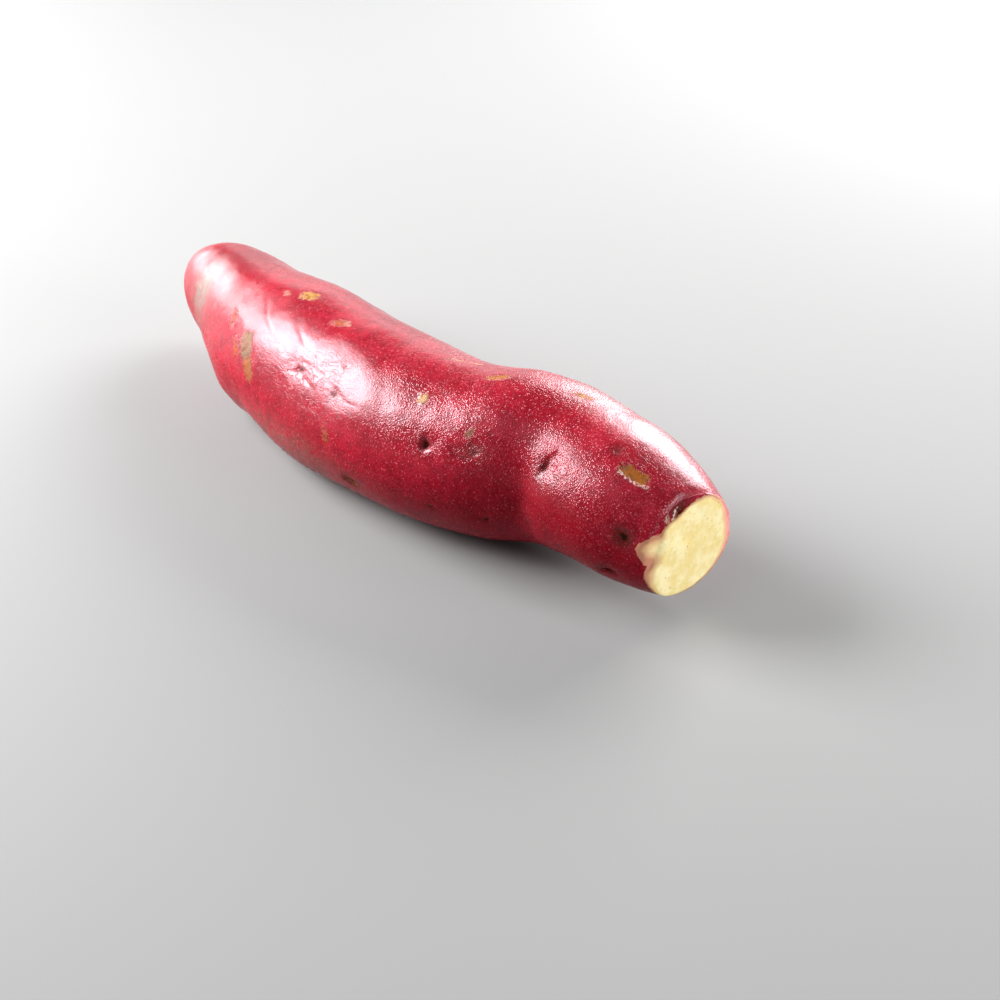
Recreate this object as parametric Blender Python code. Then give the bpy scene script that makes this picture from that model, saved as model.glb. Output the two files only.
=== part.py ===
"""A sweet potato: one slim tuber, dug and trimmed, lying on its side on Z = 0.

It grows along X, from a rounded natural tip at -X to a thick end sliced across at +X.
Places on its skin are given as a distance from the tip and an angle round its heart line:
0 degrees is +Y, 90 degrees is up, 180 degrees is -Y and 270 degrees is the side it lies on.
"""
import math

import bmesh
import bpy
import numpy as np
from mathutils import Vector, noise

MM = 0.001

# Heart line and thickness, past the cut: from the tip, sideways bend, height, half thickness (mm)
STATIONS = (
    (0.0, 6.0, 19.5, 11.5),
    (22.0, 3.3, 19.0, 15.1),
    (33.0, -0.5, 19.5, 17.4),
    (48.0, -4.9, 20.5, 19.4),
    (68.0, -7.5, 21.3, 22.0),
    (88.0, -9.5, 21.5, 22.5),
    (108.0, -10.0, 21.5, 23.0),
    (128.0, -8.0, 22.0, 23.0),
    (144.0, -2.5, 23.0, 23.5),
    (158.0, 2.0, 23.5, 21.5),
    (170.0, 2.0, 24.0, 20.0),
    (184.0, 1.5, 23.5, 19.0),
    (200.0, 1.8, 20.5, 13.8),
    (214.0, 1.8, 19.0, 7.0),
)
TIP_DOME = 20.0        # length of the rounded tip (mm)
NECK_DOME = 12.0       # length of the thick end's own rounding, beyond the cut (mm)

# Broad swellings and hollows: from the tip, angle, reach along X, reach round the skin, height (mm)
SWELLINGS = (
    (174.0, 165.0, 13.0, 14.0, 1.2),
    (159.0, 150.0, 5.0, 14.0, -0.9),
    (161.0, 175.0, 4.0, 9.0, -0.8),
    (159.0, 200.0, 4.0, 9.0, -0.8),
    (63.0, 140.0, 16.0, 16.0, 0.8),
    (48.5, 225.0, 9.0, 13.0, 2.5),
    (81.0, 225.0, 18.5, 14.0, 2.6),
    (197.0, 60.0, 9.0, 14.0, 0.8),
    (132.0, 100.0, 9.0, 18.0, -0.8),
    (108.0, 292.0, 28.0, 14.0, 1.0),
    (168.0, 330.0, 14.0, 14.0, 1.0),
    (138.0, 350.0, 9.0, 15.0, -1.2),
    (46.0, 340.0, 12.0, 12.0, 0.9),
    (103.0, 20.0, 18.0, 12.0, 0.5),
)

# Eyes, the dents that side roots leave: from the tip, angle, half length, half width, depth (mm)
EYES = (
    (87.2, 141.0, 2.4, 2.4, 0.8),
    (102.9, 144.0, 2.0, 2.0, 0.5),
    (135.2, 152.0, 2.6, 2.2, 1.1),
    (146.0, 150.0, 3.0, 2.6, 0.9),
    (166.5, 143.0, 2.6, 4.0, 1.6),
    (180.8, 109.0, 2.6, 2.0, 0.7),
    (192.5, 161.0, 2.4, 2.2, 0.8),
    (188.5, 204.0, 2.6, 2.2, 0.9),
    (111.3, 202.0, 2.6, 2.2, 0.8),
    (50.0, 215.0, 2.4, 2.2, 0.7),
    (60.0, 20.0, 2.8, 2.4, 1.0),
    (93.0, 355.0, 2.6, 2.4, 0.9),
    (120.0, 40.0, 2.4, 2.2, 0.7),
    (149.0, 15.0, 2.8, 3.2, 1.2),
    (176.0, 350.0, 2.6, 2.4, 0.9),
    (188.0, 20.0, 2.2, 2.2, 0.6),
    (78.0, 310.0, 2.6, 2.4, 0.8),
    (160.0, 300.0, 2.6, 2.4, 0.8),
)

UNEVENNESS = 0.45      # soft lumps all over the skin (mm)
LUMP_LENGTH = 17.0     # from one soft lump to the next (mm)
LUMP_TURN = 1.3        # lumps in a third of a turn round the tuber

CUT_POINT = (199.5, 0.0, 22.0)         # where the knife went through (mm)
CUT_FACING = (1.0, -0.12, 0.0)
SHAVE_POINT = (195.6, -13.6, 24.5)     # the bevel that the knife left on one side of the cut (mm)
SHAVE_FACING = (0.66, -0.73, 0.16)
REST_POINT = (0.0, 0.0, -0.8)          # the flattened spot that it lies on (mm)
REST_FACING = (0.0, 0.0, -1.0)
KNIFE_MERGE = 0.25     # skin points this near a cut are moved onto it (mm)

AROUND = 64            # facets round the tuber
ALONG = 92             # facets from tip to neck

SKIN_COLOUR = (0.36, 0.025, 0.07, 1.0)
SKIN_ROUGHNESS = 0.35


def clear_scene():
    for thing in list(bpy.data.objects):
        bpy.data.objects.remove(thing, do_unlink=True)


def blend_stations(x, column):
    """One column of STATIONS at each x, on a smooth curve through all of them."""
    places = np.array([station[0] for station in STATIONS])
    values = np.array([station[column] for station in STATIONS])
    slopes = np.gradient(values, places)
    left = np.clip(np.searchsorted(places, x) - 1, 0, len(places) - 2)
    span = places[left + 1] - places[left]
    t = (x - places[left]) / span
    start = (2 * t**3 - 3 * t**2 + 1) * values[left] + (t**3 - 2 * t**2 + t) * span * slopes[left]
    end = (3 * t**2 - 2 * t**3) * values[left + 1] + (t**3 - t**2) * span * slopes[left + 1]
    return start + end


def dome(distance, length):
    """Share of the full thickness at a distance from a rounded end."""
    inward = np.clip(distance / length, 0.0, 1.0)
    return np.sqrt(1.0 - (1.0 - inward) ** 2)


def soft_spot(x, angle, radius, spot):
    """A smooth hill of height 1 centred on a spot of the skin."""
    along, degrees, reach_along, reach_round = spot
    turn = (angle - math.radians(degrees) + math.pi) % (2 * math.pi) - math.pi
    return np.exp(-((x - along) / reach_along) ** 2 - (turn * radius / reach_round) ** 2)


def lumps(x, angle):
    """Soft unevenness, the same on every run."""
    points = np.stack([x / LUMP_LENGTH, LUMP_TURN * np.cos(angle), LUMP_TURN * np.sin(angle)], axis=1)
    return np.array([noise.noise(Vector(point)) for point in points])


def grown_skin(x, angle):
    """Points of the skin in mm, at places along X and angles round the heart line."""
    thickness = blend_stations(x, 3)
    swell = sum(spot[4] * soft_spot(x, angle, thickness, spot[:4]) for spot in SWELLINGS)
    sink = sum(eye[4] * soft_spot(x, angle, thickness, eye[:4]) for eye in EYES)
    reach = thickness + swell - sink + UNEVENNESS * lumps(x, angle)
    reach = reach * dome(x - STATIONS[0][0], TIP_DOME) * dome(STATIONS[-1][0] - x, NECK_DOME)
    y = blend_stations(x, 1) + reach * np.cos(angle)
    z = blend_stations(x, 2) + reach * np.sin(angle)
    return np.stack([x, y, z], axis=1)


def grow(mesh):
    """A ball with its poles along X, drawn out into the whole tuber before it is trimmed."""
    bmesh.ops.create_uvsphere(mesh, u_segments=AROUND, v_segments=ALONG, radius=1.0)
    ball = np.array([vert.co for vert in mesh.verts])
    turn_from_tip = np.arccos(np.clip(-ball[:, 2], -1.0, 1.0)) / math.pi
    angle = np.arctan2(ball[:, 1], ball[:, 0])
    tip, neck = STATIONS[0][0], STATIONS[-1][0]
    evenly = tip + (neck - tip) * turn_from_tip
    by_ball = tip + (neck - tip) * (1.0 - np.cos(math.pi * turn_from_tip)) / 2
    near_end = np.exp(-np.minimum(evenly - tip, neck - evenly) / TIP_DOME)
    x = evenly + near_end * (by_ball - evenly)
    for vert, point in zip(mesh.verts, grown_skin(x, angle)):
        vert.co = Vector(point) * MM


def slice_off(mesh, point, facing):
    """One knife cut: everything past the plane goes, and the cut face is closed flat."""
    plane_point = Vector(point) * MM
    normal = Vector(facing).normalized()
    whole = mesh.verts[:] + mesh.edges[:] + mesh.faces[:]
    bmesh.ops.bisect_plane(mesh, geom=whole, dist=KNIFE_MERGE * MM, plane_co=plane_point,
                           plane_no=normal, use_snap_center=True, clear_outer=True)
    rim = [edge for edge in mesh.edges if edge.is_boundary]
    bmesh.ops.holes_fill(mesh, edges=rim, sides=0)


def centre_over_origin(mesh):
    """Put the middle of the tuber's box over the origin, with the flat spot on Z = 0."""
    spots = np.array([vert.co for vert in mesh.verts])
    middle = (spots.min(axis=0) + spots.max(axis=0)) / 2
    bmesh.ops.translate(mesh, verts=mesh.verts, vec=(-middle[0], -middle[1], -spots[:, 2].min()))


def make_skin_material():
    material = bpy.data.materials.new("skin")
    material.use_nodes = True
    shader = material.node_tree.nodes["Principled BSDF"]
    shader.inputs["Base Color"].default_value = SKIN_COLOUR
    shader.inputs["Roughness"].default_value = SKIN_ROUGHNESS
    shader.inputs["Metallic"].default_value = 0.0
    return material


def make_tuber(collection):
    mesh = bmesh.new()
    grow(mesh)
    slice_off(mesh, CUT_POINT, CUT_FACING)
    slice_off(mesh, SHAVE_POINT, SHAVE_FACING)
    slice_off(mesh, REST_POINT, REST_FACING)
    centre_over_origin(mesh)
    bmesh.ops.recalc_face_normals(mesh, faces=mesh.faces)
    data = bpy.data.meshes.new("sweet_potato")
    mesh.to_mesh(data)
    mesh.free()
    data.shade_smooth()
    data.set_sharp_from_angle(angle=math.radians(40.0))
    data.materials.append(make_skin_material())
    tuber = bpy.data.objects.new("sweet_potato", data)
    collection.objects.link(tuber)
    return tuber


def main():
    clear_scene()
    collection = bpy.data.collections.new("Sweet potato")
    bpy.context.scene.collection.children.link(collection)
    make_tuber(collection)


main()
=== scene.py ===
import math

import bmesh
import bpy
import numpy as np
from mathutils import Matrix, Vector, noise
from mathutils.bvhtree import BVHTree


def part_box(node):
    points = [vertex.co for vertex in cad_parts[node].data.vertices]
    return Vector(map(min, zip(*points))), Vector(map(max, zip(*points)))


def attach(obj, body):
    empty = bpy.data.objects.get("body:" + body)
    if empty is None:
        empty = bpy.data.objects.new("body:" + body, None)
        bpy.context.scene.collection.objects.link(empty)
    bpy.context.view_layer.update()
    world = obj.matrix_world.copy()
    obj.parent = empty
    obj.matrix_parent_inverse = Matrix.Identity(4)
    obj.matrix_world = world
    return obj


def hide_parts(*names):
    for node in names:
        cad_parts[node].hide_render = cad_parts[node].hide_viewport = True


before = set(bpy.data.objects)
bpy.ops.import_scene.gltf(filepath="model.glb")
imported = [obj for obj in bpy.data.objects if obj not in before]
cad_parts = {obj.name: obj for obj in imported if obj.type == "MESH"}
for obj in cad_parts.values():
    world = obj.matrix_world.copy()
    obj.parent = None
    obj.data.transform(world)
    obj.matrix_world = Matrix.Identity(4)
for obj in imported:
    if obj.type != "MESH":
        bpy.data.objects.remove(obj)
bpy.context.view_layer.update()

MM = 0.001
NODE = "sweet_potato"

# Fine skin: quads round the tuber, and rings along it from the tip to the middle of the cut face
AROUND = 300
TIP_RINGS = 28
SKIN_RINGS = 280
ALL_RINGS = 330
TIP_DOME = 20.0          # length of the rounded tip (mm)
CLOSING_UP = 1.25        # rings lie closer together towards the cut; 1 would space them evenly
RIM_INSET = 0.02         # the last ring stops this far short of the cut face (mm)
SMOOTHING = 1.2          # how far the solid's facets are smoothed over (mm)
RING_STEP = 0.7          # from one ring to the next (mm)
COLUMN_STEP = 0.45       # from one quad to the next round the tuber (mm)

# The solid's heart line, the middle of its section all along it
HEART_PLACES = 120
HEART_TRIES = 4          # steps from side to side that settle on the middle
HEART_SMOOTHING = 3.0    # places that its jitter is smoothed over
END_MARGIN = 4.0         # it starts and stops this far from the ends (mm)
SIDEWAYS = ((0, 1, 0), (0, -1, 0), (0, 0, 1), (0, 0, -1))
CUT_FACING = 0.98        # the cut's facets face along the tuber at least this squarely
CUT_REACH = 5.0          # and lie this near its end (mm)

# Pits in the skin: from the tip, angle, radius along, radius round, depth (mm), darkness (painted shade,
# with the pits' own brown-red at their edges)
PITS = (
    (87.2, 142.0, 1.1, 0.8, 0.35, 0.72),
    (102.4, 145.0, 0.9, 0.9, 0.3, 0.6),
    (100.7, 125.0, 0.4, 0.4, 0.3, 0.7),
    (134.4, 152.0, 1.0, 1.1, 1.1, 0.95),
    (147.2, 151.0, 1.1, 0.7, 0.5, 0.55),
    (145.4, 147.0, 0.6, 0.7, 0.4, 0.5),
    (165.0, 146.0, 0.8, 1.0, 0.5, 0.7),
    (180.1, 106.0, 1.1, 0.9, 0.2, 0.5),
    (191.8, 162.0, 1.3, 1.5, 0.4, 0.95),
    (202.0, 109.0, 1.0, 1.6, 0.6, 1.0),
    (192.9, 49.0, 0.7, 0.35, 0.2, 0.9),
    (110.6, 204.0, 1.2, 0.8, 0.6, 0.7),
    (137.4, 196.0, 0.6, 0.5, 0.4, 0.7),
    (151.2, 200.0, 0.7, 0.6, 0.5, 0.9),
    (187.4, 205.0, 1.4, 0.9, 0.6, 0.8),
    (50.0, 215.0, 0.8, 0.8, 0.6, 0.8),
    (60.0, 20.0, 1.0, 0.8, 0.9, 0.9),
    (93.0, 355.0, 0.9, 0.9, 0.8, 0.8),
    (120.0, 40.0, 0.8, 0.7, 0.6, 0.7),
    (149.0, 15.0, 0.8, 1.3, 1.1, 1.0),
    (176.0, 350.0, 0.9, 0.8, 0.8, 0.9),
    (188.0, 20.0, 0.7, 0.7, 0.5, 0.7),
    (78.0, 310.0, 0.9, 0.8, 0.7, 0.8),
    (160.0, 300.0, 0.9, 0.9, 0.7, 0.9),
)

PIT_WANDER = (0.22, 0.16)    # how far from oval a pit's outline is
PIT_LIP = (2.2, 0.8, 0.10)   # its lip: how far out and how wide (radii), and how high (share of depth)
PIT_SHADE = 0.95             # how far out a pit is dark (radii)

# Scabs: from the tip, angle, half length, half width (mm), turn from along the tuber,
# tone (0 olive grey, 0.33 brown ochre, 0.66 orange yellow, 1 cream), depth (mm),
# torn skin on one side, strength
SCABS = (
    (187.3, 113.5, 4.1, 1.8, -8.0, 0.33, 0.40, 1.0, 1.0),
    (63.6, 150.0, 4.4, 2.8, 68.0, 0.03, 0.10, 0.0, 0.68),
    (66.8, 163.0, 4.0, 2.3, 68.0, 0.22, 0.15, 0.0, 0.72),
    (58.9, 157.0, 2.6, 1.3, 65.0, 0.45, 0.1, 0.0, 0.45),
    (52.1, 138.0, 2.6, 1.1, 70.0, 0.6, 0.05, 0.0, 0.3),
    (70.7, 92.0, 3.0, 2.1, -30.0, 0.6, 0.1, 0.1, 0.84),
    (87.2, 99.0, 2.5, 1.3, -30.0, 0.50, 0.1, 0.2, 0.4),
    (89.6, 95.5, 1.1, 0.9, 0.0, 1.0, 0.05, 0.0, 0.65),
    (87.6, 94.5, 0.7, 0.5, 0.0, 1.0, 0.05, 0.0, 0.5),
    (64.0, 100.0, 1.0, 0.7, 10.0, 0.8, 0.05, 0.0, 0.6),
    (102.9, 174.0, 2.8, 0.9, 75.0, 0.25, 0.1, 0.3, 0.75),
    (127.3, 122.0, 1.8, 1.2, 60.0, 0.8, 0.05, 0.8, 0.9),
    (124.0, 79.0, 2.0, 0.7, -30.0, 0.9, 0.05, 0.3, 0.55),
    (128.5, 74.0, 1.3, 0.6, -20.0, 1.0, 0.05, 0.3, 0.55),
    (139.3, 90.0, 2.6, 1.5, -25.0, 0.42, 0.2, 0.4, 0.84),
    (158.8, 80.0, 2.6, 1.1, -20.0, 0.6, 0.1, 0.3, 0.7),
    (144.2, 139.0, 1.1, 1.4, 0.0, 0.12, 0.15, 0.3, 0.7),
    (110.6, 204.0, 2.8, 1.3, 35.0, 0.2, 0.1, 0.0, 0.35),
    (201.3, 121.0, 1.6, 0.45, 70.0, 1.0, 0.05, 0.9, 0.9),
    (199.7, 127.0, 1.0, 0.35, 60.0, 1.0, 0.05, 0.9, 0.8),
    (84.0, 30.0, 2.8, 1.3, 20.0, 0.2, 0.2, 0.6, 1.0),
    (132.0, 5.0, 2.0, 1.2, 70.0, 0.6, 0.1, 0.2, 0.9),
    (172.0, 25.0, 3.1, 1.4, -15.0, 0.3, 0.3, 0.7, 1.0),
    (45.0, 300.0, 2.6, 1.5, 40.0, 0.5, 0.1, 0.3, 0.8),
)

SCAB_SQUARENESS = 2.4    # outline of a scab: 2 is an oval, more is squarer
SCAB_WALL = 0.5          # width of its sloping edge (mm)
SCAB_WALL_START = 0.4    # share of that slope outside the outline
TEAR_PLACE = 0.05        # skin is torn up beside it, this far out (mm)
TEAR_WIDTH = 0.45        # mm
TEAR_HEIGHT = 0.35       # share of the scab's depth
FAR_OUTSIDE = -9.0       # how far inside a scab the rest of the skin counts (mm)

# Dull greyish stains: from the tip, angle, reach along, reach round (mm), strength
STAINS = (
    (24.3, 147.0, 6.0, 8.0, 1.0),
    (48.0, 214.0, 5.0, 3.0, 0.5),
    (86.0, 203.0, 22.0, 7.0, 0.35),
    (147.0, 150.0, 3.0, 2.0, 0.2),
    (75.0, 320.0, 8.0, 6.0, 0.4),
    (130.0, 20.0, 7.0, 5.0, 0.35),
)

# Soft dark smudges round pits, partly brown marks and partly painted shade: from the tip, angle, reach
# along, reach round (mm), strength
SMUDGES_AND_PIT_SHADE = (
    (191.8, 162.0, 2.1, 2.5, 1.0),
    (134.4, 152.0, 2.0, 1.9, 0.6),
    (201.0, 111.0, 2.0, 2.6, 1.0),
    (147.0, 151.0, 2.6, 1.8, 0.4),
    (164.4, 148.0, 1.6, 2.6, 0.55),
    (187.4, 205.0, 2.2, 1.6, 0.7),
    (110.6, 204.0, 2.8, 1.5, 1.0),
    (137.2, 196.0, 1.1, 0.9, 0.5),
    (150.9, 200.0, 1.3, 1.1, 0.6),
    (180.1, 106.0, 2.2, 1.6, 0.6),
    (87.2, 142.0, 1.4, 1.3, 0.55),
    (102.4, 145.0, 1.5, 1.3, 0.5),
    (60.0, 20.0, 1.8, 1.6, 0.5),
    (149.0, 15.0, 1.8, 2.2, 0.5),
    (160.0, 300.0, 2.0, 1.6, 0.5),
)

# Smoother places, with a broad even shine: from the tip, angle, reach along, reach round (mm), strength
SMOOTH_PLACES = (
    (70.0, 136.0, 20.0, 15.0, 1.0),
    (100.0, 139.0, 20.0, 12.0, 1.0),
    (20.0, 120.0, 22.0, 20.0, 1.0),
    (186.0, 80.0, 26.0, 12.0, 0.65),
    (115.0, 92.0, 40.0, 11.0, 0.45),
)

# Dull, dry places: from the tip, angle, reach along, reach round (mm), strength
DULL_PLACES = (
    (45.0, 119.0, 6.0, 10.0, 0.8),
    (170.0, 134.0, 10.0, 12.0, 0.65),
    (180.0, 165.0, 12.0, 12.0, 0.5),
    (132.0, 160.0, 18.0, 8.0, 0.5),
    (201.5, 114.0, 3.5, 12.0, 0.9),
    (68.0, 196.0, 30.0, 9.0, 0.45),
)
STIPPLE_START = 88.0     # the stippled skin begins this far from the tip (mm)
STIPPLE_FADE = 34.0      # and is full this much further on (mm)

# Deeper crimson places, painted shade on the lower side and on the tip's top, elsewhere the skin's own
# deeper tone: from the tip, angle, reach along, reach round (mm), strength
DEEP_AND_SHADED_PLACES = (
    (30.0, 84.0, 14.0, 9.0, 0.8),
    (172.0, 185.0, 12.0, 13.0, 0.7),
    (132.0, 202.0, 30.0, 9.0, 0.6),
    (190.0, 200.0, 14.0, 12.0, 0.5),
    (90.0, 40.0, 25.0, 14.0, 0.4),
    (150.0, 330.0, 25.0, 14.0, 0.5),
)

# Creases: points as (from the tip, angle), half width (mm), depth (mm), darkness of the shade painted in
# them
CREASES = (
    (((167.0, 130.0), (165.7, 138.0), (164.9, 147.0), (164.2, 155.0)), 0.65, 0.25, 0.45),
    (((161.5, 168.0), (159.6, 186.0), (161.4, 196.0), (163.4, 207.0)), 1.6, 0.12, 0.35),
    (((60.0, 112.0), (65.6, 125.0), (71.0, 131.0), (75.2, 137.0)), 0.35, 0.25, 0.5),
    (((82.0, 133.0), (87.0, 137.0), (93.0, 136.0)), 0.5, 0.2, 0.25),
    (((83.0, 147.0), (88.0, 145.0), (95.0, 149.0)), 0.5, 0.2, 0.25),
    (((97.0, 140.0), (101.0, 141.0), (107.0, 146.0), (112.0, 145.0)), 0.5, 0.15, 0.2),
    (((78.0, 118.0), (84.0, 126.0), (92.0, 128.0), (99.0, 132.0)), 0.5, 0.15, 0.1),
    (((140.5, 146.0), (143.0, 156.0), (148.0, 158.0)), 0.5, 0.25, 0.2),
    (((148.0, 2.0), (149.0, 18.0), (152.0, 34.0)), 1.0, 0.4, 0.3),
)

CREASE_SHADE = 0.7       # how far out a crease is dark (half widths)

# Wrinkled places: from the tip, angle, reach along, reach round (mm), strength
WRINKLES = (
    (91.0, 149.0, 15.0, 6.5, 0.9),
    (96.0, 133.0, 10.0, 7.0, 0.5),
    (72.0, 153.0, 9.0, 8.0, 0.4),
    (135.0, 152.0, 5.0, 4.0, 0.6),
    (146.5, 150.0, 6.0, 6.0, 0.9),
    (167.0, 140.0, 6.0, 6.0, 0.6),
    (189.0, 100.0, 12.0, 9.0, 0.35),
    (60.0, 20.0, 9.0, 9.0, 0.7),
    (149.0, 15.0, 9.0, 9.0, 0.7),
    (120.0, 300.0, 30.0, 12.0, 0.5),
)

WRINKLE_SIZE = 2.2       # mm
WRINKLE_HEIGHT = 0.09    # mm

# Slight unevenness: size of the lumps, height (mm)
SKIN_WAVES = ((7.0, 0.13), (2.6, 0.06))
CUT_WAVES = ((5.0, 0.16), (1.6, 0.06))
EDGE_WANDER = ((2.6, 0.35),)
CUT_WAVES_START = 1.5    # the cut face is flat this near its rim (mm)
TABLE_FADE = 1.0         # the skin's forms fade out this near the table (mm)

# Where the skin ends round the cut: angle, flesh bared behind the rim (mm); below zero the skin
# laps over the rim onto the face
SKIN_EDGE = (
    (0.0, 0.3),
    (45.0, 0.4),
    (60.0, 0.2),
    (78.0, -0.8),
    (90.0, -1.6),
    (102.0, -2.4),
    (111.0, -2.9),
    (118.0, -2.6),
    (126.0, -2.1),
    (135.0, -1.6),
    (143.0, -0.8),
    (150.0, 0.4),
    (156.0, 1.6),
    (162.0, 2.9),
    (168.0, 3.5),
    (173.0, 2.7),
    (180.0, 1.2),
    (187.0, 0.35),
    (218.0, 0.4),
    (235.0, 1.1),
    (250.0, 0.6),
    (270.0, 0.2),
    (300.0, 0.2),
)
EDGE_FADE = 0.6          # the skin's forms fade out over this width at its edge (mm)
RIM_DROP = 0.25          # how far the rim sinks (mm)
RIM_WIDTH = 0.7          # over this width (mm)
RIM_BACK = 6.0           # and no further back on the skin than this (mm)
RIM_LAP_ANGLE = 108.0    # the rim is rounded over where the skin laps over it (degrees)
RIM_LAP_REACH = 34.0     # half width of that stretch (degrees)
RIM_LAP_DROP = 0.4       # how far the rim sinks there (mm)
RIM_LAP_WIDTH = 1.3      # and over how much more width (mm)
RIM_ROUNDING = 0.6       # how much of its corner is rounded off there (mm)
RIM_ROUNDING_REACH = 1.5
LAP_SHADE = 0.5          # how dark the lapped skin is
LAP_SHADE_START = 1.2    # it starts this far behind the rim (mm)
LAP_SHADE_FADE = 1.8     # and is full this much further on (mm)
PINK_RIM_ANGLE = 0.0     # the rim is pink and ragged round here (degrees)
PINK_RIM_REACH = 52.0
RAGGED_RIM = 0.45        # how ragged it is there (mm)
RAGGED_SIZE = 1.3        # size of the rags (mm)
SHAVED_ANGLE = 178.0     # the knife shaved this side of the cut (degrees)
SHAVED_REACH = 38.0
FACE_ROLL = 0.9          # how far the cut face stands proud of its shaved side (mm)
FACE_ROLL_WIDTH = 3.0    # width of the rounded shoulder there (mm)

# Ring of outer flesh round the cut
RING_WIDTH = 0.45        # unit of its width (mm)
PINK_RING = 0.9          # added to that at the pink rim (mm)
SHAVED_RING = 3.0        # how much wider it is on the shaved side

# Finest relief of the skin, and its shine
RELIEF = 0.12            # height of one unit of relief (mm)
PEBBLE_SIZE = 0.62       # from one raised grain of the stippled skin to the next (mm)
DOT_SPACING = 1.05       # from one pale raised dot to the next (mm); their paleness is partly painted glint
PEBBLE_STRETCH = 1.1     # the grains are longer round the tuber than along it
SHINE = 0.7              # strength of its reflections on its upper side
LOW_SHEEN = 0.08         # share of that on the side it lies on
SHEEN_START = 0.05       # the shine grows from where the skin faces up this much
SHEEN_FADE = 0.5         # and is full this much further up
SCAB_ROUGHNESS = 0.2     # scabs are this much rougher than the skin
FLESH_ROUGHNESS = 0.42
FLESH_SHINE = 0.4
SHINE_TINT = (1.0, 0.87, 0.96, 1)

# Sizes of the patterns in the finish (mm)
PATCH_SIZE = 22.0
MOTTLE_SIZE = 3.0
PORE_SPACING = 1.6
CHANCE_SIZE = 2.4        # of the patches with more or fewer pores and dots
SPECK_SIZE = 0.8
SCAB_BLOTCH_SIZE = 1.3
SHRED_SIZE = 0.8
FLESH_CLOUD_SIZE = 4.5
FIBRE_SIZE = 1.6
FLESH_SPOT_SPACING = 3.4
FINE_SIZE = 0.38
SOFT_SIZE = 1.7
FOLD_SIZE = 1.6
FOLD_STRETCH = 0.45      # folds run along the tuber
SHINE_PATCH_SIZE = 5.0
SCAB_EDGE_SIZE = 1.2
SKIN_EDGE_SIZE = 0.9

# Colours of the skin, among them painted glints and painted shade
CRIMSON = (0.265, 0.004, 0.012, 1)
BRIGHT_CRIMSON = (0.36, 0.007, 0.022, 1)
DARK_MOTTLE = (0.18, 0.003, 0.010, 1)
DEEP_CRIMSON_AND_SHADE = (0.15, 0.002, 0.007, 1)
PINK_GRAIN_GLINT = (0.66, 0.06, 0.10, 1)
PALE_DOT_AND_GLINT = (0.72, 0.16, 0.19, 1)
DARK_PORE = (0.11, 0.003, 0.008, 1)
CREASE_SHADE_COLOUR = (0.10, 0.003, 0.008, 1)
GREY_STAIN = (0.19, 0.155, 0.125, 1)
BROWN_SMUDGE_AND_SHADE = (0.035, 0.016, 0.010, 1)
PIT_EDGE_AND_SHADE = (0.13, 0.012, 0.008, 1)
PIT_BOTTOM_SHADE = (0.022, 0.010, 0.006, 1)

# Colours of the scabs
OLIVE_SCAB = (0.24, 0.205, 0.125, 1)
OCHRE_SCAB = (0.36, 0.105, 0.016, 1)
ORANGE_SCAB = (0.52, 0.27, 0.06, 1)
CREAM_SCAB = (0.74, 0.47, 0.32, 1)
BROWN_BLOTCH = (0.15, 0.085, 0.03, 1)
TORN_SKIN = (0.80, 0.58, 0.52, 1)

# Colours of the flesh, and of the inner and outer part of its ring: plain, at the pink rim, and shaved
YELLOW_FLESH = (0.88, 0.70, 0.29, 1)
PALE_FLESH = (0.96, 0.84, 0.48, 1)
FLESH_FIBRE = (0.80, 0.66, 0.22, 1)
FLESH_SPOT = (0.35, 0.22, 0.08, 1)
INNER_RING = (0.72, 0.50, 0.20, 1)
INNER_PINK = (0.88, 0.40, 0.28, 1)
INNER_TAN = (0.76, 0.46, 0.23, 1)
OUTER_RING = (0.40, 0.20, 0.08, 1)
OUTER_PINK = (0.84, 0.26, 0.27, 1)
OUTER_TAN = (0.55, 0.23, 0.13, 1)

# Light that goes a little way into the tuber
GLOW = 0.06
GLOW_REACH = (1.0, 0.35, 0.15)
GLOW_DEPTH = 1.2         # mm

# Camera: 35 degrees above the table and 45 degrees round from straight on
CAMERA_TARGET = (34.3, 4.78, 4.0)   # mm
CAMERA_DISTANCE = 598.0             # mm
CAMERA_AZIMUTH = 45.0
CAMERA_ELEVATION = 35.0
CAMERA_LENS = 80.35                 # mm
CAMERA_SENSOR = 36.0                # mm
CAMERA_NEAR = 0.01                  # m

# Soft lights: name, target (mm), azimuth and elevation seen from there (degrees),
# distance, width, height (mm), watts
LIGHTS = (
    ("window_left", (0.0, -19.0, 40.0), -150.0, 31.0, 600.0, 430.0, 370.0, 11.2),
    ("window_behind", (84.0, 9.0, 42.0), 103.0, 21.5, 600.0, 420.0, 420.0, 7.6),
    ("wall_behind", (0.0, 0.0, 40.0), 131.0, 13.0, 900.0, 620.0, 350.0, 1.3),
    ("card_left", (-83.0, -1.0, 30.0), 174.0, 8.0, 500.0, 240.0, 170.0, 1.2),
    ("window_right", (97.0, 5.0, 22.0), 18.0, 14.0, 600.0, 360.0, 260.0, 3.4),
    ("ceiling", (40.0, -15.0, 38.0), -95.0, 55.0, 700.0, 500.0, 350.0, 0.4),
)
WORLD_LIGHT = 0.05

FLOOR_HALF = 3.0         # m
FLOOR_GREY = (0.29, 0.29, 0.29, 1)
FLOOR_ROUGHNESS = 0.8
FLOOR_SHINE = 0.15


def add_node(tree, kind, inputs=None, **settings):
    """A shader node, with its settings, and values or other nodes' sockets on its inputs."""
    node = tree.nodes.new(kind)
    for name, value in settings.items():
        setattr(node, name, value)
    for socket, value in (inputs or {}).items():
        if isinstance(value, bpy.types.NodeSocket):
            tree.links.new(value, node.inputs[socket])
        else:
            node.inputs[socket].default_value = value
    return node


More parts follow.
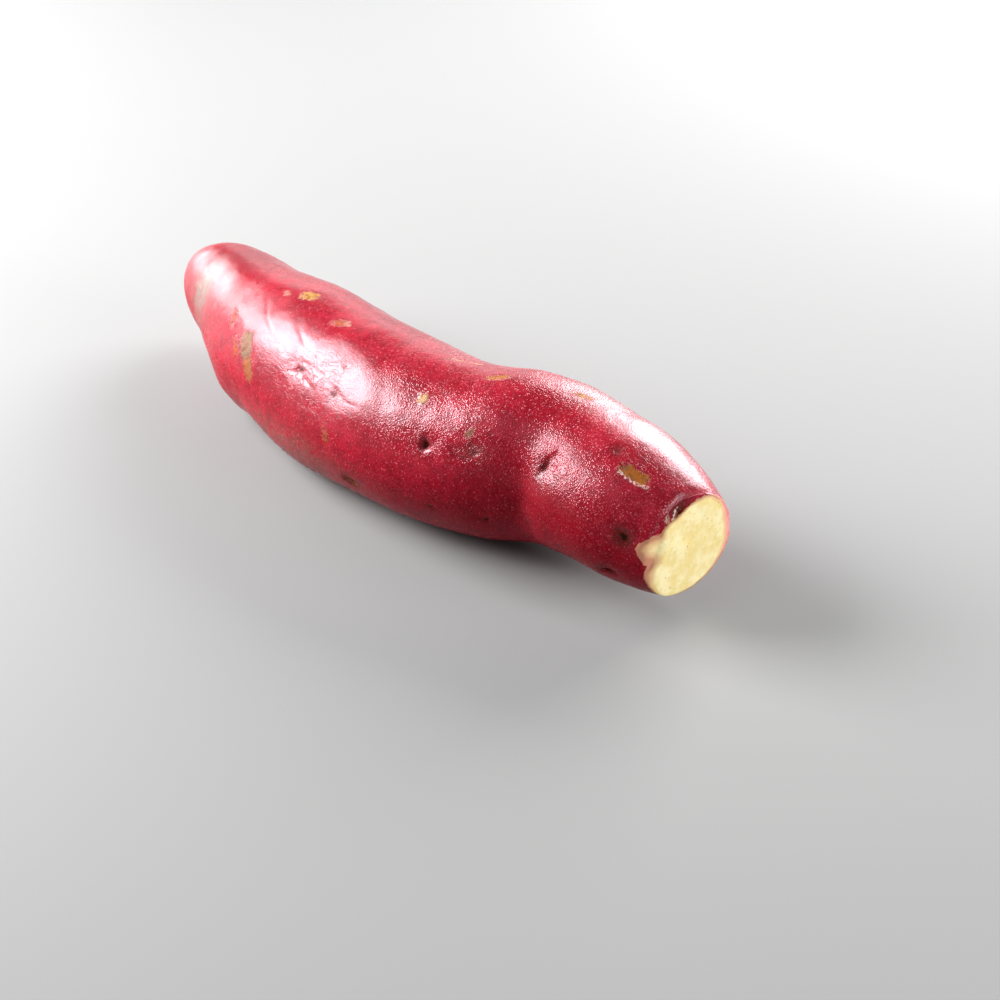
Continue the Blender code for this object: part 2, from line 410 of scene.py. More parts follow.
def calculate(tree, operation, first, second=0.0, third=0.0):
    """The result of one sum on two or three numbers or sockets."""
    node = add_node(tree, "ShaderNodeMath", {0: first, 1: second, 2: third}, operation=operation)
    return node.outputs[0]


def multiply(tree, first, second):
    return calculate(tree, "MULTIPLY", first, second)


def scale_and_add(tree, value, factor, more):
    return calculate(tree, "MULTIPLY_ADD", value, factor, more)


def mix_value(tree, share, first, second):
    node = add_node(tree, "ShaderNodeMix", {0: share, 2: first, 3: second}, data_type="FLOAT")
    return node.outputs[0]


def mix_colour(tree, share, first, second):
    node = add_node(tree, "ShaderNodeMix", {0: share, 6: first, 7: second}, data_type="RGBA")
    return node.outputs[2]


def spread(tree, value, low, high, to_low=0.0, to_high=1.0):
    """A value between low and high, spread smoothly over another range."""
    node = add_node(tree, "ShaderNodeMapRange", {0: value, 1: low, 2: high, 3: to_low, 4: to_high},
                    interpolation_type="SMOOTHSTEP")
    return node.outputs[0]


def stretch_along(tree, where, factor):
    """Places with their distance along the tuber multiplied by a factor."""
    node = add_node(tree, "ShaderNodeVectorMath", {0: where, 1: (factor, 1.0, 1.0)}, operation="MULTIPLY")
    return node.outputs[0]


def grain(tree, where, size_mm, detail=2.0, roughness=0.5, distortion=0.0):
    """Soft noise from 0 to 1 whose lumps are about size_mm across."""
    node = add_node(tree, "ShaderNodeTexNoise",
                    {"Vector": where, "Scale": 1.0 / (size_mm * MM), "Detail": detail,
                     "Roughness": roughness, "Distortion": distortion})
    return node.outputs["Fac"]


def cells(tree, where, size_mm):
    """Distance to the nearest of scattered points about size_mm apart, 0 at each point."""
    node = add_node(tree, "ShaderNodeTexVoronoi", {"Vector": where, "Scale": 1.0 / (size_mm * MM)},
                    feature="F1")
    return node.outputs["Distance"]


def read_mask(tree, name):
    return add_node(tree, "ShaderNodeAttribute", attribute_name=name).outputs["Fac"]


def read_solid():
    """The tuber's solid, ready to be probed with rays, and its box in metres."""
    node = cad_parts[NODE]
    tree = BVHTree.FromObject(node, bpy.context.evaluated_depsgraph_get())
    low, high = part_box(NODE)
    return tree, Vector(low), Vector(high)


def find_cut_plane(high):
    """Middle and direction of the cut face at the thick end of the solid."""
    middle = Vector()
    facing = Vector()
    area = 0.0
    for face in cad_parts[NODE].data.polygons:
        if face.normal.x > CUT_FACING and face.center.x > high.x - CUT_REACH * MM:
            middle += face.area * face.center
            facing += face.area * face.normal
            area += face.area
    return middle / area, facing.normalized()


def reach(tree, start, direction):
    """Distance from a point inside the solid to its surface."""
    spot, _, _, distance = tree.ray_cast(start, direction)
    return distance if spot is not None else None


def bell(width):
    """Offsets to each side of a place, and the weight that smoothing gives each."""
    half = int(3 * width) + 1
    offsets = np.arange(-half, half + 1)
    weights = np.exp(-0.5 * (offsets / width) ** 2)
    return offsets, weights / weights.sum()


def smooth_line(values, width):
    """A list of numbers with its jitter smoothed out."""
    offsets, weights = bell(width)
    half = offsets[-1]
    padded = np.concatenate([2 * values[0] - values[half:0:-1], values,
                             2 * values[-1] - values[-2:-half - 2:-1]])
    return np.convolve(padded, weights, mode="valid")


def smooth_grid(values, along_width, round_width):
    """A map of the skin (rings by columns) smoothed along the tuber and round it."""
    offsets, weights = bell(round_width)
    round_it = sum(weight * np.roll(values, shift, axis=1) for weight, shift in zip(weights, offsets))
    return np.stack([smooth_line(column, along_width) for column in round_it.T], axis=1)


def find_heart_line(tree, low, high, end_x):
    """Middle of the solid's section all along it: places along X, and Y and Z there."""
    places = np.linspace(low.x + END_MARGIN * MM, end_x, HEART_PLACES)
    middle = (low + high) / 2
    y, z = middle.y, middle.z
    found = []
    for x in places:
        for _ in range(HEART_TRIES):
            start = Vector((x, y, z))
            sides = [reach(tree, start, Vector(way)) for way in SIDEWAYS]
            if None in sides:
                continue
            y += (sides[0] - sides[1]) / 2
            z += (sides[2] - sides[3]) / 2
        found.append((y, z))
    found = np.array(found)
    return places, smooth_line(found[:, 0], HEART_SMOOTHING), smooth_line(found[:, 1], HEART_SMOOTHING)


def wrap_turn(angle):
    return (angle + math.pi) % (2 * math.pi) - math.pi


def ease(value):
    """0 below 0, 1 above 1 and a smooth step between."""
    value = np.clip(value, 0.0, 1.0)
    return value * value * (3 - 2 * value)


def bump_of(distance, width):
    """1 where the distance is 0, falling softly to nothing at about twice the width."""
    return np.exp(-(distance / width) ** 2)


def noise_map(points, size_mm):
    """Soft noise from -1 to 1 at points in metres, with lumps about size_mm across."""
    scale = 1.0 / (size_mm * MM)
    values = [noise.noise(Vector(point) * scale) for point in points.reshape(-1, 3)]
    return np.array(values).reshape(points.shape[:-1])


def unevenness(points, waves):
    """Noise of each size and height in the list, added up (mm)."""
    return sum(height * noise_map(points, size) for size, height in waves)


def aim_rays(tree, low, high, cut_middle, cut_facing, angle):
    """Where each ring's rays start on the heart line, and which way each one goes."""
    places, heart_y, heart_z = find_heart_line(tree, low, high, cut_middle.x - END_MARGIN * MM)

    def heart(x):
        return np.stack([x, np.interp(x, places, heart_y), np.interp(x, places, heart_z)], axis=-1)

    end = heart(np.array([cut_middle.x]))[0]
    off_middle = cut_facing.y * (end[1] - cut_middle.y) + cut_facing.z * (end[2] - cut_middle.z)
    end_x = cut_middle.x - off_middle / cut_facing.x
    out_y, out_z = np.cos(angle), np.sin(angle)
    slant = -(cut_facing.y * out_y + cut_facing.z * out_z) / cut_facing.x
    dome_x = low.x + TIP_DOME * MM
    starts = np.zeros((SKIN_RINGS + 1, AROUND, 3))
    ways = np.zeros((SKIN_RINGS + 1, AROUND, 3))
    for ring in range(SKIN_RINGS + 1):
        if ring <= TIP_RINGS:
            lean = 0.5 * math.pi * ring / TIP_RINGS
            x = dome_x
            way = (np.full(AROUND, -math.cos(lean)), math.sin(lean) * out_y, math.sin(lean) * out_z)
        else:
            share = (ring - TIP_RINGS) / (SKIN_RINGS - TIP_RINGS)
            share = 1 - (1 - share) ** CLOSING_UP
            x = dome_x + share * (end_x - RIM_INSET * MM - dome_x)
            way = (slant * share ** 3, out_y, out_z)
        starts[ring] = heart(np.full(AROUND, x))
        ways[ring] = np.stack(way, axis=-1)
    return starts, ways / np.linalg.norm(ways, axis=-1, keepdims=True)


def probe_solid(tree, starts, ways):
    """Distance along each ray to the solid's surface, with its facets smoothed over."""
    far = np.zeros(starts.shape[:2])
    for ring in range(SKIN_RINGS + 1):
        for column in range(AROUND):
            found = reach(tree, Vector(starts[ring, column]), Vector(ways[ring, column]))
            far[ring, column] = found if found is not None else far[ring - 1, column]
    return smooth_grid(far, SMOOTHING / RING_STEP, SMOOTHING / COLUMN_STEP)


class Skin:
    """The tuber's fine surface as rings of points, with what each point knows of its place."""

    def __init__(self):
        tree, low, high = read_solid()
        angle = 2 * math.pi * np.arange(AROUND) / AROUND
        cut_middle, cut_facing = find_cut_plane(high)
        starts, ways = aim_rays(tree, low, high, cut_middle, cut_facing, angle)
        far = probe_solid(tree, starts, ways)
        skin = starts + far[..., None] * ways
        skin[..., 2] = np.maximum(skin[..., 2], 0.0)

        rim = skin[-1]
        centre = rim.mean(axis=0)
        shares = np.linspace(1.0, 0.0, ALL_RINGS - SKIN_RINGS + 1)[1:, None]
        face = centre + shares[..., None] * (rim - centre)
        self.points = np.concatenate([skin, face])
        self.turn = np.broadcast_to(angle, self.points.shape[:2])
        self.radius = np.concatenate([far, shares * far[-1]]) / MM
        self.on_face = np.zeros(self.turn.shape)
        self.on_face[SKIN_RINGS + 1:] = 1.0
        across_face = np.linalg.norm(rim - face, axis=-1) / MM
        self.from_rim = np.concatenate([(skin[..., 0] - rim[:, 0]) / MM, across_face])
        along_skin = (skin[..., 0] - low.x) / MM
        self.from_tip = np.concatenate([along_skin, along_skin[-1] + across_face])
        self.cut_facing = np.array(cut_facing)
        self.masks = {}

    def normals(self):
        """Directions out of the surface."""
        along = np.gradient(self.points, axis=0)
        round_it = np.roll(self.points, -1, axis=1) - np.roll(self.points, 1, axis=1)
        facing = np.cross(round_it, along)
        length = np.linalg.norm(facing, axis=-1, keepdims=True)
        return facing / np.maximum(length, 1e-12)

    def local(self, place, degrees):
        """Distances in mm from one spot on the skin, along the tuber and round it.

        The face counts as more skin, unrolled past the rim.
        """
        along = self.from_tip - place
        return along, wrap_turn(self.turn - math.radians(degrees)) * self.radius

    def near_angle(self, degrees, half_width):
        """1 at one angle round the tuber, falling softly to 0 on both sides of it."""
        away = wrap_turn(self.turn - math.radians(degrees))
        return bump_of(away, math.radians(half_width))

    def push(self, amount_mm, facing):
        self.points = self.points + (amount_mm * MM)[..., None] * facing


def sink_pits(skin):
    """Depth of the pits, with a low lip round each, and the darkness painted in them: painted shade, with
    their own brown-red at the edges.
    """
    depth = np.zeros(skin.turn.shape)
    dark = np.zeros(skin.turn.shape)
    two_sided, three_sided = PIT_WANDER
    lip_place, lip_width, lip_height = PIT_LIP
    for place, degrees, along_radius, round_radius, deep, darkness in PITS:
        along, round_it = skin.local(place, degrees)
        bearing = np.arctan2(round_it, along)
        wander = 1 + two_sided * np.sin(2 * bearing + place) + three_sided * np.sin(3 * bearing + 2 * place)
        distance = np.hypot(along / along_radius, round_it / round_radius) * wander
        depth -= deep * bump_of(distance, 1.0)
        depth += lip_height * deep * bump_of(distance - lip_place, lip_width)
        dark = np.maximum(dark, darkness * bump_of(distance, PIT_SHADE))
    return depth, dark


def lay_scabs(skin):
    """Depth of the sunken scabs, and masks of their inside, tone, strength and torn skin."""
    depth = np.zeros(skin.turn.shape)
    inward = np.full(skin.turn.shape, FAR_OUTSIDE)
    tone = np.zeros(skin.turn.shape)
    torn = np.zeros(skin.turn.shape)
    strength = np.zeros(skin.turn.shape)
    for place, degrees, half_length, half_width, turn, scab_tone, deep, tear, opacity in SCABS:
        along, round_it = skin.local(place, degrees)
        turn = math.radians(turn)
        u = along * math.cos(turn) + round_it * math.sin(turn)
        v = round_it * math.cos(turn) - along * math.sin(turn)
        share = np.abs(u / half_length) ** SCAB_SQUARENESS + np.abs(v / half_width) ** SCAB_SQUARENESS
        inside = (1 - share ** (1 / SCAB_SQUARENESS)) * half_width
        depth -= deep * ease(inside / SCAB_WALL + SCAB_WALL_START)
        lip = bump_of(inside + TEAR_PLACE, TEAR_WIDTH) * ease(v / half_width)
        depth += TEAR_HEIGHT * tear * deep * lip
        torn = np.maximum(torn, tear * lip)
        tone = np.where(inside > inward, scab_tone, tone)
        strength = np.where(inside > inward, opacity, strength)
        inward = np.maximum(inward, inside)
    return depth, {"scab": inward, "scab_tone": tone, "scab_strength": strength, "torn": torn}


def distance_to_line(skin, points):
    """Distance to a bent line on the skin (mm), and how far along it the nearest spot is (0 to 1)."""
    nearest = np.full(skin.turn.shape, np.inf)
    share_along = np.zeros(skin.turn.shape)
    for index, ((place_a, degrees_a), (place_b, degrees_b)) in enumerate(zip(points, points[1:])):
        along, round_it = skin.local(place_a, degrees_a)
        step_along = place_b - place_a
        step_round = math.radians(degrees_b - degrees_a) * skin.radius
        length = step_along ** 2 + step_round ** 2
        share = (along * step_along + round_it * step_round) / np.maximum(length, 1e-9)
        share = np.clip(share, 0.0, 1.0)
        away = np.hypot(along - share * step_along, round_it - share * step_round)
        share_along = np.where(away < nearest, (index + share) / (len(points) - 1), share_along)
        nearest = np.minimum(nearest, away)
    return nearest, share_along


def press_creases(skin):
    """Depth of the grooves along bent lines on the skin, and the darkness of the shade painted in them."""
    depth = np.zeros(skin.turn.shape)
    dark = np.zeros(skin.turn.shape)
    for points, half_width, deep, darkness in CREASES:
        away, share_along = distance_to_line(skin, points)
        fade = np.clip(4 * share_along * (1 - share_along), 0.0, 1.0) ** 0.5
        depth -= deep * bump_of(away, half_width) * fade
        dark = np.maximum(dark, darkness * bump_of(away, CREASE_SHADE * half_width) * fade)
    return depth, dark


def patchy_map(skin, patches):
    """Soft patches on the skin, each from its middle to its reach, up to its strength."""
    strongest = np.zeros(skin.turn.shape)
    for place, degrees, reach_along, reach_round, strength in patches:
        along, round_it = skin.local(place, degrees)
        patch = strength * bump_of(along, reach_along) * bump_of(round_it, reach_round)
        strongest = np.maximum(strongest, patch)
    return strongest


def bared_flesh(skin):
    """How far behind the rim the flesh is bare, at every angle (mm)."""
    angles, widths = zip(*SKIN_EDGE)
    return np.interp(np.degrees(skin.turn) % 360.0, angles, widths, period=360.0)


def shape_skin(skin):
    """The skin's own forms, and masks of where each finish and each painted shade lies on it."""
    facing = skin.normals()
    flesh = skin.from_rim + bared_flesh(skin) + unevenness(skin.points, EDGE_WANDER)
    skinned = ease(0.5 - flesh / EDGE_FADE)
    pits, pit_dark = sink_pits(skin)
    scabs, scab_masks = lay_scabs(skin)
    creases, crease_dark = press_creases(skin)
    wrinkled = patchy_map(skin, WRINKLES)
    ridges = 0.5 - np.abs(noise_map(skin.points, WRINKLE_SIZE))
    waves = unevenness(skin.points, SKIN_WAVES) + WRINKLE_HEIGHT * wrinkled * ridges
    lap = skin.near_angle(RIM_LAP_ANGLE, RIM_LAP_REACH)
    rounding = RIM_ROUNDING * lap * bump_of(skin.from_rim, RIM_ROUNDING_REACH)
    off_table = ease(skin.points[..., 2] / (TABLE_FADE * MM))
    skin.push((pits + scabs + creases + waves - rounding) * skinned * off_table, facing)

    lapped = LAP_SHADE * lap * ease((skin.from_rim + LAP_SHADE_START) / LAP_SHADE_FADE)
    sheen = ease((facing[..., 2] - SHEEN_START) / SHEEN_FADE)
    skin.masks.update(scab_masks)
    skin.masks["flesh"] = flesh
    # painted shade in the pits, partly their own brown-red
    skin.masks["pit"] = pit_dark * skinned
    # painted shade in the creases and on the skin lapped over the rim
    skin.masks["crease"] = np.maximum(crease_dark, lapped) * skinned
    # brown marks round the pits, partly painted shade
    skin.masks["smudge_and_shade"] = patchy_map(skin, SMUDGES_AND_PIT_SHADE) * skinned
    skin.masks["smooth"] = patchy_map(skin, SMOOTH_PLACES)
    skin.masks["dull"] = patchy_map(skin, DULL_PLACES)
    # painted shade on the lower side and the tip's top, the skin's own deeper tone elsewhere
    skin.masks["deep"] = patchy_map(skin, DEEP_AND_SHADED_PLACES)
    skin.masks["stain"] = patchy_map(skin, STAINS)
    skin.masks["stippled"] = ease((skin.from_tip - STIPPLE_START) / STIPPLE_FADE)
    skin.masks["sheen"] = LOW_SHEEN + (1 - LOW_SHEEN) * sheen
    skin.masks["wrinkled"] = wrinkled


def shape_cut(skin):
    """The knife's face: rounded over on its shaved side, a little wavy, with a soft rim."""
    shaved = skin.near_angle(SHAVED_ANGLE, SHAVED_REACH)
    pink = skin.near_angle(PINK_RIM_ANGLE, PINK_RIM_REACH)
    lap = skin.near_angle(RIM_LAP_ANGLE, RIM_LAP_REACH)
    roll = FACE_ROLL * shaved * ease(skin.from_rim / FACE_ROLL_WIDTH)
    waves = unevenness(skin.points, CUT_WAVES) * ease(skin.from_rim / CUT_WAVES_START)
    near_rim = bump_of(skin.from_rim, RIM_WIDTH + RIM_LAP_WIDTH * lap) * (skin.from_rim > -RIM_BACK)
    soft_rim = RIM_DROP + (RIM_LAP_DROP - RIM_DROP) * lap
    rags = RAGGED_RIM * pink * noise_map(skin.points, RAGGED_SIZE)
    height = skin.on_face * (roll + waves) + (rags - soft_rim) * near_rim
    skin.push(height, np.broadcast_to(skin.cut_facing, skin.points.shape))
    ring_width = (1.0 + SHAVED_RING * shaved) * (RING_WIDTH + PINK_RING * pink)
    skin.masks["cortex"] = skin.masks["flesh"] / ring_width
    skin.masks["shaved"] = shaved
    skin.masks["pink_rim"] = pink


def make_tuber():
    """A ball with its poles along X, laid ring by ring on the fine skin."""
    skin = Skin()
    shape_skin(skin)
    shape_cut(skin)
    skin.points[..., 2] = np.maximum(skin.points[..., 2], 0.0)
    shape = bmesh.new()
    bmesh.ops.create_uvsphere(shape, u_segments=AROUND, v_segments=ALL_RINGS, radius=1.0)
    rings = []
    columns = []
    for vert in shape.verts:
        lean = math.acos(max(-1.0, min(1.0, -vert.co.z)))
        rings.append(round(lean / math.pi * ALL_RINGS))
        columns.append(round(math.atan2(vert.co.y, vert.co.x) / (2 * math.pi) * AROUND) % AROUND)
    for vert, ring, column in zip(shape.verts, rings, columns):
        vert.co = Vector(skin.points[ring, column])
    for face in shape.faces:
        face.smooth = True
    mesh = bpy.data.meshes.new("fine_tuber")
    shape.to_mesh(mesh)
    shape.free()
    for name, values in skin.masks.items():
        mask = mesh.attributes.new(name, "FLOAT", "POINT")
        mask.data.foreach_set("value", values[rings, columns].astype(np.float32))
    tuber = bpy.data.objects.new("fine_tuber", mesh)
    bpy.context.scene.collection.objects.link(tuber)
    return tuber


def paint_skin(tree, where, pebble, dots):
    """Crimson skin: blotchy, stippled, with dark pores, pale dots, dark creases and pits; painted glints on
    its grains and dots, painted shade in its creases and pits, round the pits and on its lower side.
    """
    patches = grain(tree, where, PATCH_SIZE, 3.0, 0.6)
    mottle = grain(tree, where, MOTTLE_SIZE, 4.0, 0.65)
    chance = grain(tree, where, CHANCE_SIZE, 1.0)
    specks = grain(tree, where, SPECK_SIZE, 3.0, 0.65)
    colour = mix_colour(tree, spread(tree, patches, 0.35, 0.65), CRIMSON, BRIGHT_CRIMSON)
    colour = mix_colour(tree, spread(tree, mottle, 0.4, 0.65, 0.0, 0.6), colour, DARK_MOTTLE)
    # painted glints: the tops of the raised grains are lighter pink
    colour = mix_colour(tree, multiply(tree, pebble, 0.4), colour, PINK_GRAIN_GLINT)
    pores = spread(tree, cells(tree, where, PORE_SPACING), 0.16, 0.06)
    pores = multiply(tree, pores, spread(tree, chance, 0.48, 0.65, 0.0, 0.5))
    colour = mix_colour(tree, pores, colour, DARK_PORE)
    # pale dots: the skin's own pale specks, partly painted glints
    dots = multiply(tree, dots, spread(tree, chance, 0.68, 0.46, 0.0, 0.7))
    colour = mix_colour(tree, dots, colour, PALE_DOT_AND_GLINT)
    # deeper crimson: painted shade on the lower side and the tip's top, a deeper tone elsewhere
    colour = mix_colour(tree, multiply(tree, read_mask(tree, "deep"), 0.75), colour, DEEP_CRIMSON_AND_SHADE)
    stain = multiply(tree, read_mask(tree, "stain"), spread(tree, mottle, 0.35, 0.5, 0.4, 1.0))
    colour = mix_colour(tree, stain, colour, GREY_STAIN)
    # painted shade in the creases and on the lapped skin
    colour = mix_colour(tree, read_mask(tree, "crease"), colour, CREASE_SHADE_COLOUR)
    # dark brown round the pits: partly marks, partly painted shade
    smudge_and_shade = multiply(tree, read_mask(tree, "smudge_and_shade"), spread(tree, specks, 0.38, 0.55, 0.45, 1.0))
    colour = mix_colour(tree, smudge_and_shade, colour, BROWN_SMUDGE_AND_SHADE)
    # painted shade in the pits: their brown-red edge darkens to a near-black bottom
    pit = read_mask(tree, "pit")
    ragged = scale_and_add(tree, specks, 1.6, -0.8)
    ragged = multiply(tree, ragged, spread(tree, pit, 0.05, 0.3))
    ragged = calculate(tree, "ADD", pit, ragged)
    pit_colour = mix_colour(tree, spread(tree, pit, 0.55, 0.8), PIT_EDGE_AND_SHADE, PIT_BOTTOM_SHADE)
    return mix_colour(tree, spread(tree, ragged, 0.2, 0.6, 0.0, 0.95), colour, pit_colour)


def paint_scabs(tree, where, skin_colour, in_scab):
    """Scabs from olive to cream, and the pale torn skin on one side of them."""
    tone = read_mask(tree, "scab_tone")
    blotches = grain(tree, where, SCAB_BLOTCH_SIZE, 3.0, 0.6)
    colour = mix_colour(tree, spread(tree, tone, 0.05, 0.33), OLIVE_SCAB, OCHRE_SCAB)
    colour = mix_colour(tree, spread(tree, tone, 0.33, 0.66), colour, ORANGE_SCAB)
    colour = mix_colour(tree, spread(tree, tone, 0.66, 1.0), colour, CREAM_SCAB)
    colour = mix_colour(tree, spread(tree, blotches, 0.46, 0.62, 0.0, 0.8), colour, BROWN_BLOTCH)
    shown = multiply(tree, in_scab, read_mask(tree, "scab_strength"))
    colour = mix_colour(tree, shown, skin_colour, colour)
    shreds = spread(tree, grain(tree, where, SHRED_SIZE, 2.0, 0.6), 0.42, 0.58)
    torn = multiply(tree, spread(tree, read_mask(tree, "torn"), 0.15, 0.6, 0.0, 0.85), shreds)
    return mix_colour(tree, torn, colour, TORN_SKIN)


def paint_flesh(tree, where):
    """Pale yellow flesh with a few spots; its outer ring is pink, or tan where the knife shaved it."""
    cortex = read_mask(tree, "cortex")
    pink = read_mask(tree, "pink_rim")
    shaved = spread(tree, read_mask(tree, "shaved"), 0.15, 0.85)
    clouds = grain(tree, where, FLESH_CLOUD_SIZE, 3.0, 0.55)
    fibres = grain(tree, where, FIBRE_SIZE, 4.0, 0.6)
    colour = mix_colour(tree, spread(tree, clouds, 0.35, 0.65), YELLOW_FLESH, PALE_FLESH)
    colour = mix_colour(tree, spread(tree, fibres, 0.50, 0.72, 0.0, 0.8), colour, FLESH_FIBRE)
    spots = spread(tree, cells(tree, where, FLESH_SPOT_SPACING), 0.10, 0.05, 0.0, 0.6)
    colour = mix_colour(tree, spots, colour, FLESH_SPOT)
    inner = mix_colour(tree, shaved, mix_colour(tree, pink, INNER_RING, INNER_PINK), INNER_TAN)
    outer = mix_colour(tree, shaved, mix_colour(tree, pink, OUTER_RING, OUTER_PINK), OUTER_TAN)
    colour = mix_colour(tree, spread(tree, cortex, 2.4, 1.0), colour, inner)
    return mix_colour(tree, spread(tree, cortex, 1.2, 0.5), colour, outer)


def raise_relief(tree, where, pebble, dots, is_flesh, in_scab):
    """Height of the finest relief, in units of RELIEF."""
    fine = grain(tree, where, FINE_SIZE, 2.0, 0.6)
    soft = grain(tree, where, SOFT_SIZE, 2.0, 0.5)
    folds = grain(tree, stretch_along(tree, where, FOLD_STRETCH), FOLD_SIZE, 2.0, 0.5, 1.0)
    folds = calculate(tree, "ABSOLUTE", calculate(tree, "SUBTRACT", folds, 0.5))
    folds = spread(tree, folds, 0.0, 0.05, -1.0, 0.0)
    folds = multiply(tree, folds, read_mask(tree, "wrinkled"))
    grains = scale_and_add(tree, dots, 0.35, multiply(tree, pebble, 0.54))
    grains = multiply(tree, grains, spread(tree, read_mask(tree, "stippled"), 0.0, 1.0, 0.35, 1.0))
    skin = scale_and_add(tree, fine, 0.48, grains)
    skin = scale_and_add(tree, soft, 0.45, skin)
    skin = multiply(tree, skin, spread(tree, read_mask(tree, "smooth"), 0.0, 0.9, 1.0, 0.22))
    skin = scale_and_add(tree, folds, 0.7, skin)
    scab = scale_and_add(tree, soft, 2.0, multiply(tree, fine, 1.5))
    flesh = scale_and_add(tree, soft, 1.2, multiply(tree, fine, 0.6))
    return mix_value(tree, is_flesh, mix_value(tree, in_scab, skin, scab), flesh)


def find_scabs(tree, where):
    """1 inside the scabs, with ragged edges that are crisp round the strongest ones."""
    ragged = scale_and_add(tree, grain(tree, where, SCAB_EDGE_SIZE, 4.0, 0.7), 3.4, -1.75)
    inside = calculate(tree, "ADD", read_mask(tree, "scab"), ragged)
    crispness = spread(tree, read_mask(tree, "scab_strength"), 0.8, 0.98)
    return mix_value(tree, crispness, spread(tree, inside, -0.5, 0.7), spread(tree, inside, -0.05, 0.2))


def find_flesh(tree, where):
    """1 on bare flesh, with a slightly ragged edge to the skin."""
    ragged = scale_and_add(tree, grain(tree, where, SKIN_EDGE_SIZE, 3.0), 0.9, -0.45)
    return spread(tree, calculate(tree, "ADD", read_mask(tree, "flesh"), ragged), 0.0, 0.15)


def set_roughness(tree, where, is_flesh, in_scab):
    rough = spread(tree, grain(tree, where, SHINE_PATCH_SIZE, 3.0, 0.6), 0.3, 0.7, 0.20, 0.27)
    rough = scale_and_add(tree, read_mask(tree, "smooth"), 0.13, rough)
    rough = scale_and_add(tree, read_mask(tree, "dull"), 0.06, rough)
    rough = scale_and_add(tree, in_scab, SCAB_ROUGHNESS, rough)
    rough = scale_and_add(tree, read_mask(tree, "pit"), 0.25, rough)
    return mix_value(tree, is_flesh, rough, FLESH_ROUGHNESS)


def set_shine(tree, is_flesh, in_scab):
    shine = spread(tree, read_mask(tree, "pit"), 0.1, 0.7, SHINE, 0.05)
    shine = multiply(tree, shine, read_mask(tree, "sheen"))
    shine = multiply(tree, shine, scale_and_add(tree, read_mask(tree, "dull"), -0.7, 1.0))
    shine = multiply(tree, shine, scale_and_add(tree, in_scab, -0.8, 1.0))
    return mix_value(tree, is_flesh, shine, FLESH_SHINE)


def finish_tuber(tuber):
    """Moist crimson skin, ochre scabs, and pale yellow flesh at the cut."""
    material = bpy.data.materials.new("sweet_potato_skin_and_flesh")
    material.use_nodes = True
    tree = material.node_tree
    shader = tree.nodes["Principled BSDF"]
    where = add_node(tree, "ShaderNodeTexCoord").outputs["Object"]
    pebble = cells(tree, stretch_along(tree, where, PEBBLE_STRETCH), PEBBLE_SIZE)
    pebble = spread(tree, pebble, 0.55, 0.05)
    dots = spread(tree, cells(tree, where, DOT_SPACING), 0.26, 0.08)
    in_scab = find_scabs(tree, where)
    is_flesh = find_flesh(tree, where)

    skin_colour = paint_scabs(tree, where, paint_skin(tree, where, pebble, dots), in_scab)
    colour = mix_colour(tree, is_flesh, skin_colour, paint_flesh(tree, where))
    height = raise_relief(tree, where, pebble, dots, is_flesh, in_scab)
    bump = add_node(tree, "ShaderNodeBump", {"Height": height, "Distance": RELIEF * MM, "Strength": 1.0})
    tree.links.new(colour, shader.inputs["Base Color"])
    tree.links.new(set_roughness(tree, where, is_flesh, in_scab), shader.inputs["Roughness"])
    tree.links.new(set_shine(tree, is_flesh, in_scab), shader.inputs["Specular IOR Level"])
    tree.links.new(bump.outputs[0], shader.inputs["Normal"])
    shader.inputs["Specular Tint"].default_value = SHINE_TINT
    shader.inputs["Subsurface Weight"].default_value = GLOW
    shader.inputs["Subsurface Radius"].default_value = GLOW_REACH
    shader.inputs["Subsurface Scale"].default_value = GLOW_DEPTH * MM
    tuber.data.materials.append(material)


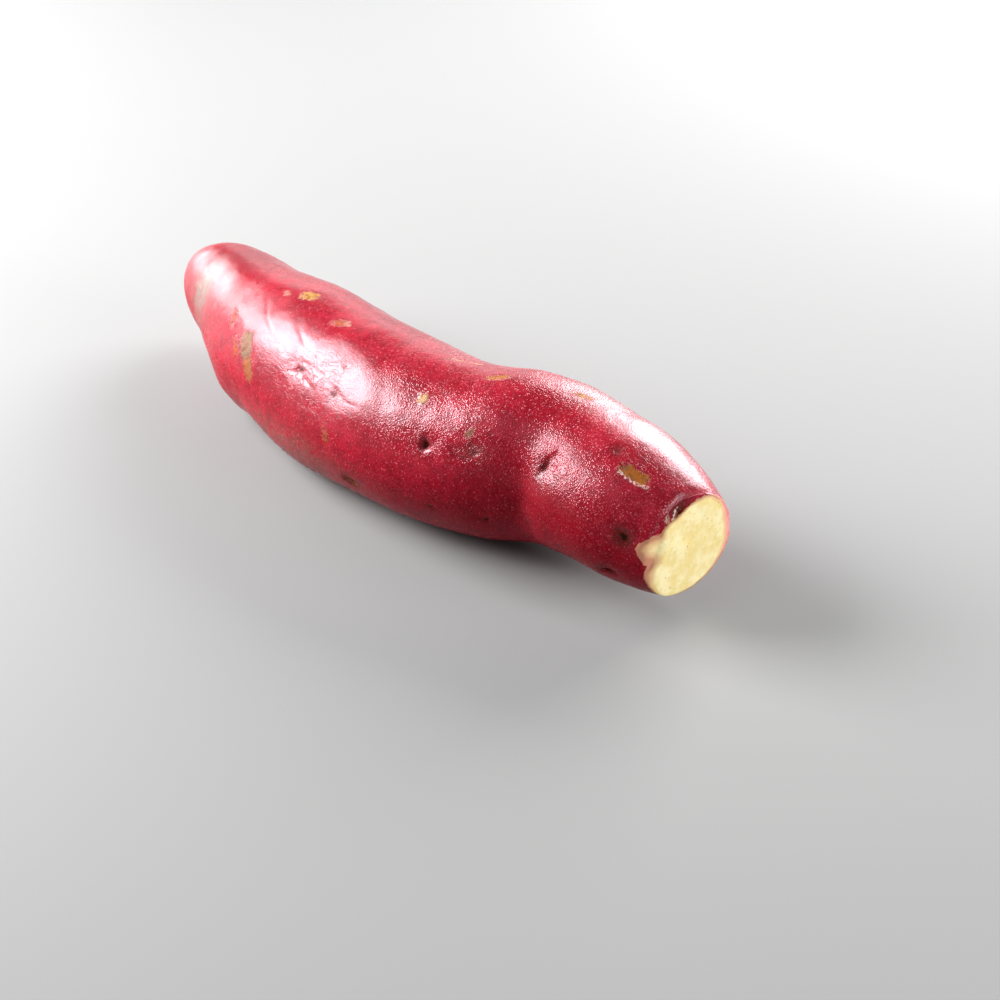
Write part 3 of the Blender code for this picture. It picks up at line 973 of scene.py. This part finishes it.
def lay_floor():
    grid = bmesh.new()
    bmesh.ops.create_grid(grid, x_segments=1, y_segments=1, size=FLOOR_HALF)
    mesh = bpy.data.meshes.new("floor")
    grid.to_mesh(mesh)
    grid.free()
    floor = bpy.data.objects.new("floor", mesh)
    bpy.context.scene.collection.objects.link(floor)
    material = bpy.data.materials.new("pale_floor")
    material.use_nodes = True
    shader = material.node_tree.nodes["Principled BSDF"]
    shader.inputs["Base Color"].default_value = FLOOR_GREY
    shader.inputs["Roughness"].default_value = FLOOR_ROUGHNESS
    shader.inputs["Specular IOR Level"].default_value = FLOOR_SHINE
    floor.data.materials.append(material)


def stand_off(thing, target, out, distance):
    """A light or camera, put out from its target (mm) and looking back at it."""
    bpy.context.scene.collection.objects.link(thing)
    place = (Vector(target) + distance * out) * MM
    turn = (-out).to_track_quat("-Z", "Y").to_matrix().to_4x4()
    thing.matrix_world = Matrix.Translation(place) @ turn


def add_soft_light(name, target, azimuth, elevation, distance, width, height, watts):
    """A rectangular light, seen from its target at an azimuth and elevation in degrees."""
    azimuth, elevation = math.radians(azimuth), math.radians(elevation)
    out = Vector((math.cos(azimuth) * math.cos(elevation), math.sin(azimuth) * math.cos(elevation),
                  math.sin(elevation)))
    light = bpy.data.lights.new(name, "AREA")
    light.shape = "RECTANGLE"
    light.size = width * MM
    light.size_y = height * MM
    light.energy = watts
    stand_off(bpy.data.objects.new(name, light), target, out, distance)


def set_light():
    for settings in LIGHTS:
        add_soft_light(*settings)
    world = bpy.data.worlds.new("studio")
    world.use_nodes = True
    background = world.node_tree.nodes["Background"]
    background.inputs[0].default_value = (1.0, 1.0, 1.0, 1)
    background.inputs[1].default_value = WORLD_LIGHT
    bpy.context.scene.world = world


def set_camera():
    azimuth, elevation = math.radians(CAMERA_AZIMUTH), math.radians(CAMERA_ELEVATION)
    out = Vector((math.sin(azimuth) * math.cos(elevation), -math.cos(azimuth) * math.cos(elevation),
                  math.sin(elevation)))
    camera = bpy.data.cameras.new("camera")
    camera.lens = CAMERA_LENS
    camera.sensor_width = CAMERA_SENSOR
    camera.clip_start = CAMERA_NEAR
    thing = bpy.data.objects.new("camera", camera)
    stand_off(thing, CAMERA_TARGET, out, CAMERA_DISTANCE)
    bpy.context.scene.camera = thing


bpy.context.scene.view_settings.view_transform = "Standard"
tuber = make_tuber()
finish_tuber(tuber)
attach(tuber, "root")
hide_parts(NODE)
lay_floor()
set_light()
set_camera()
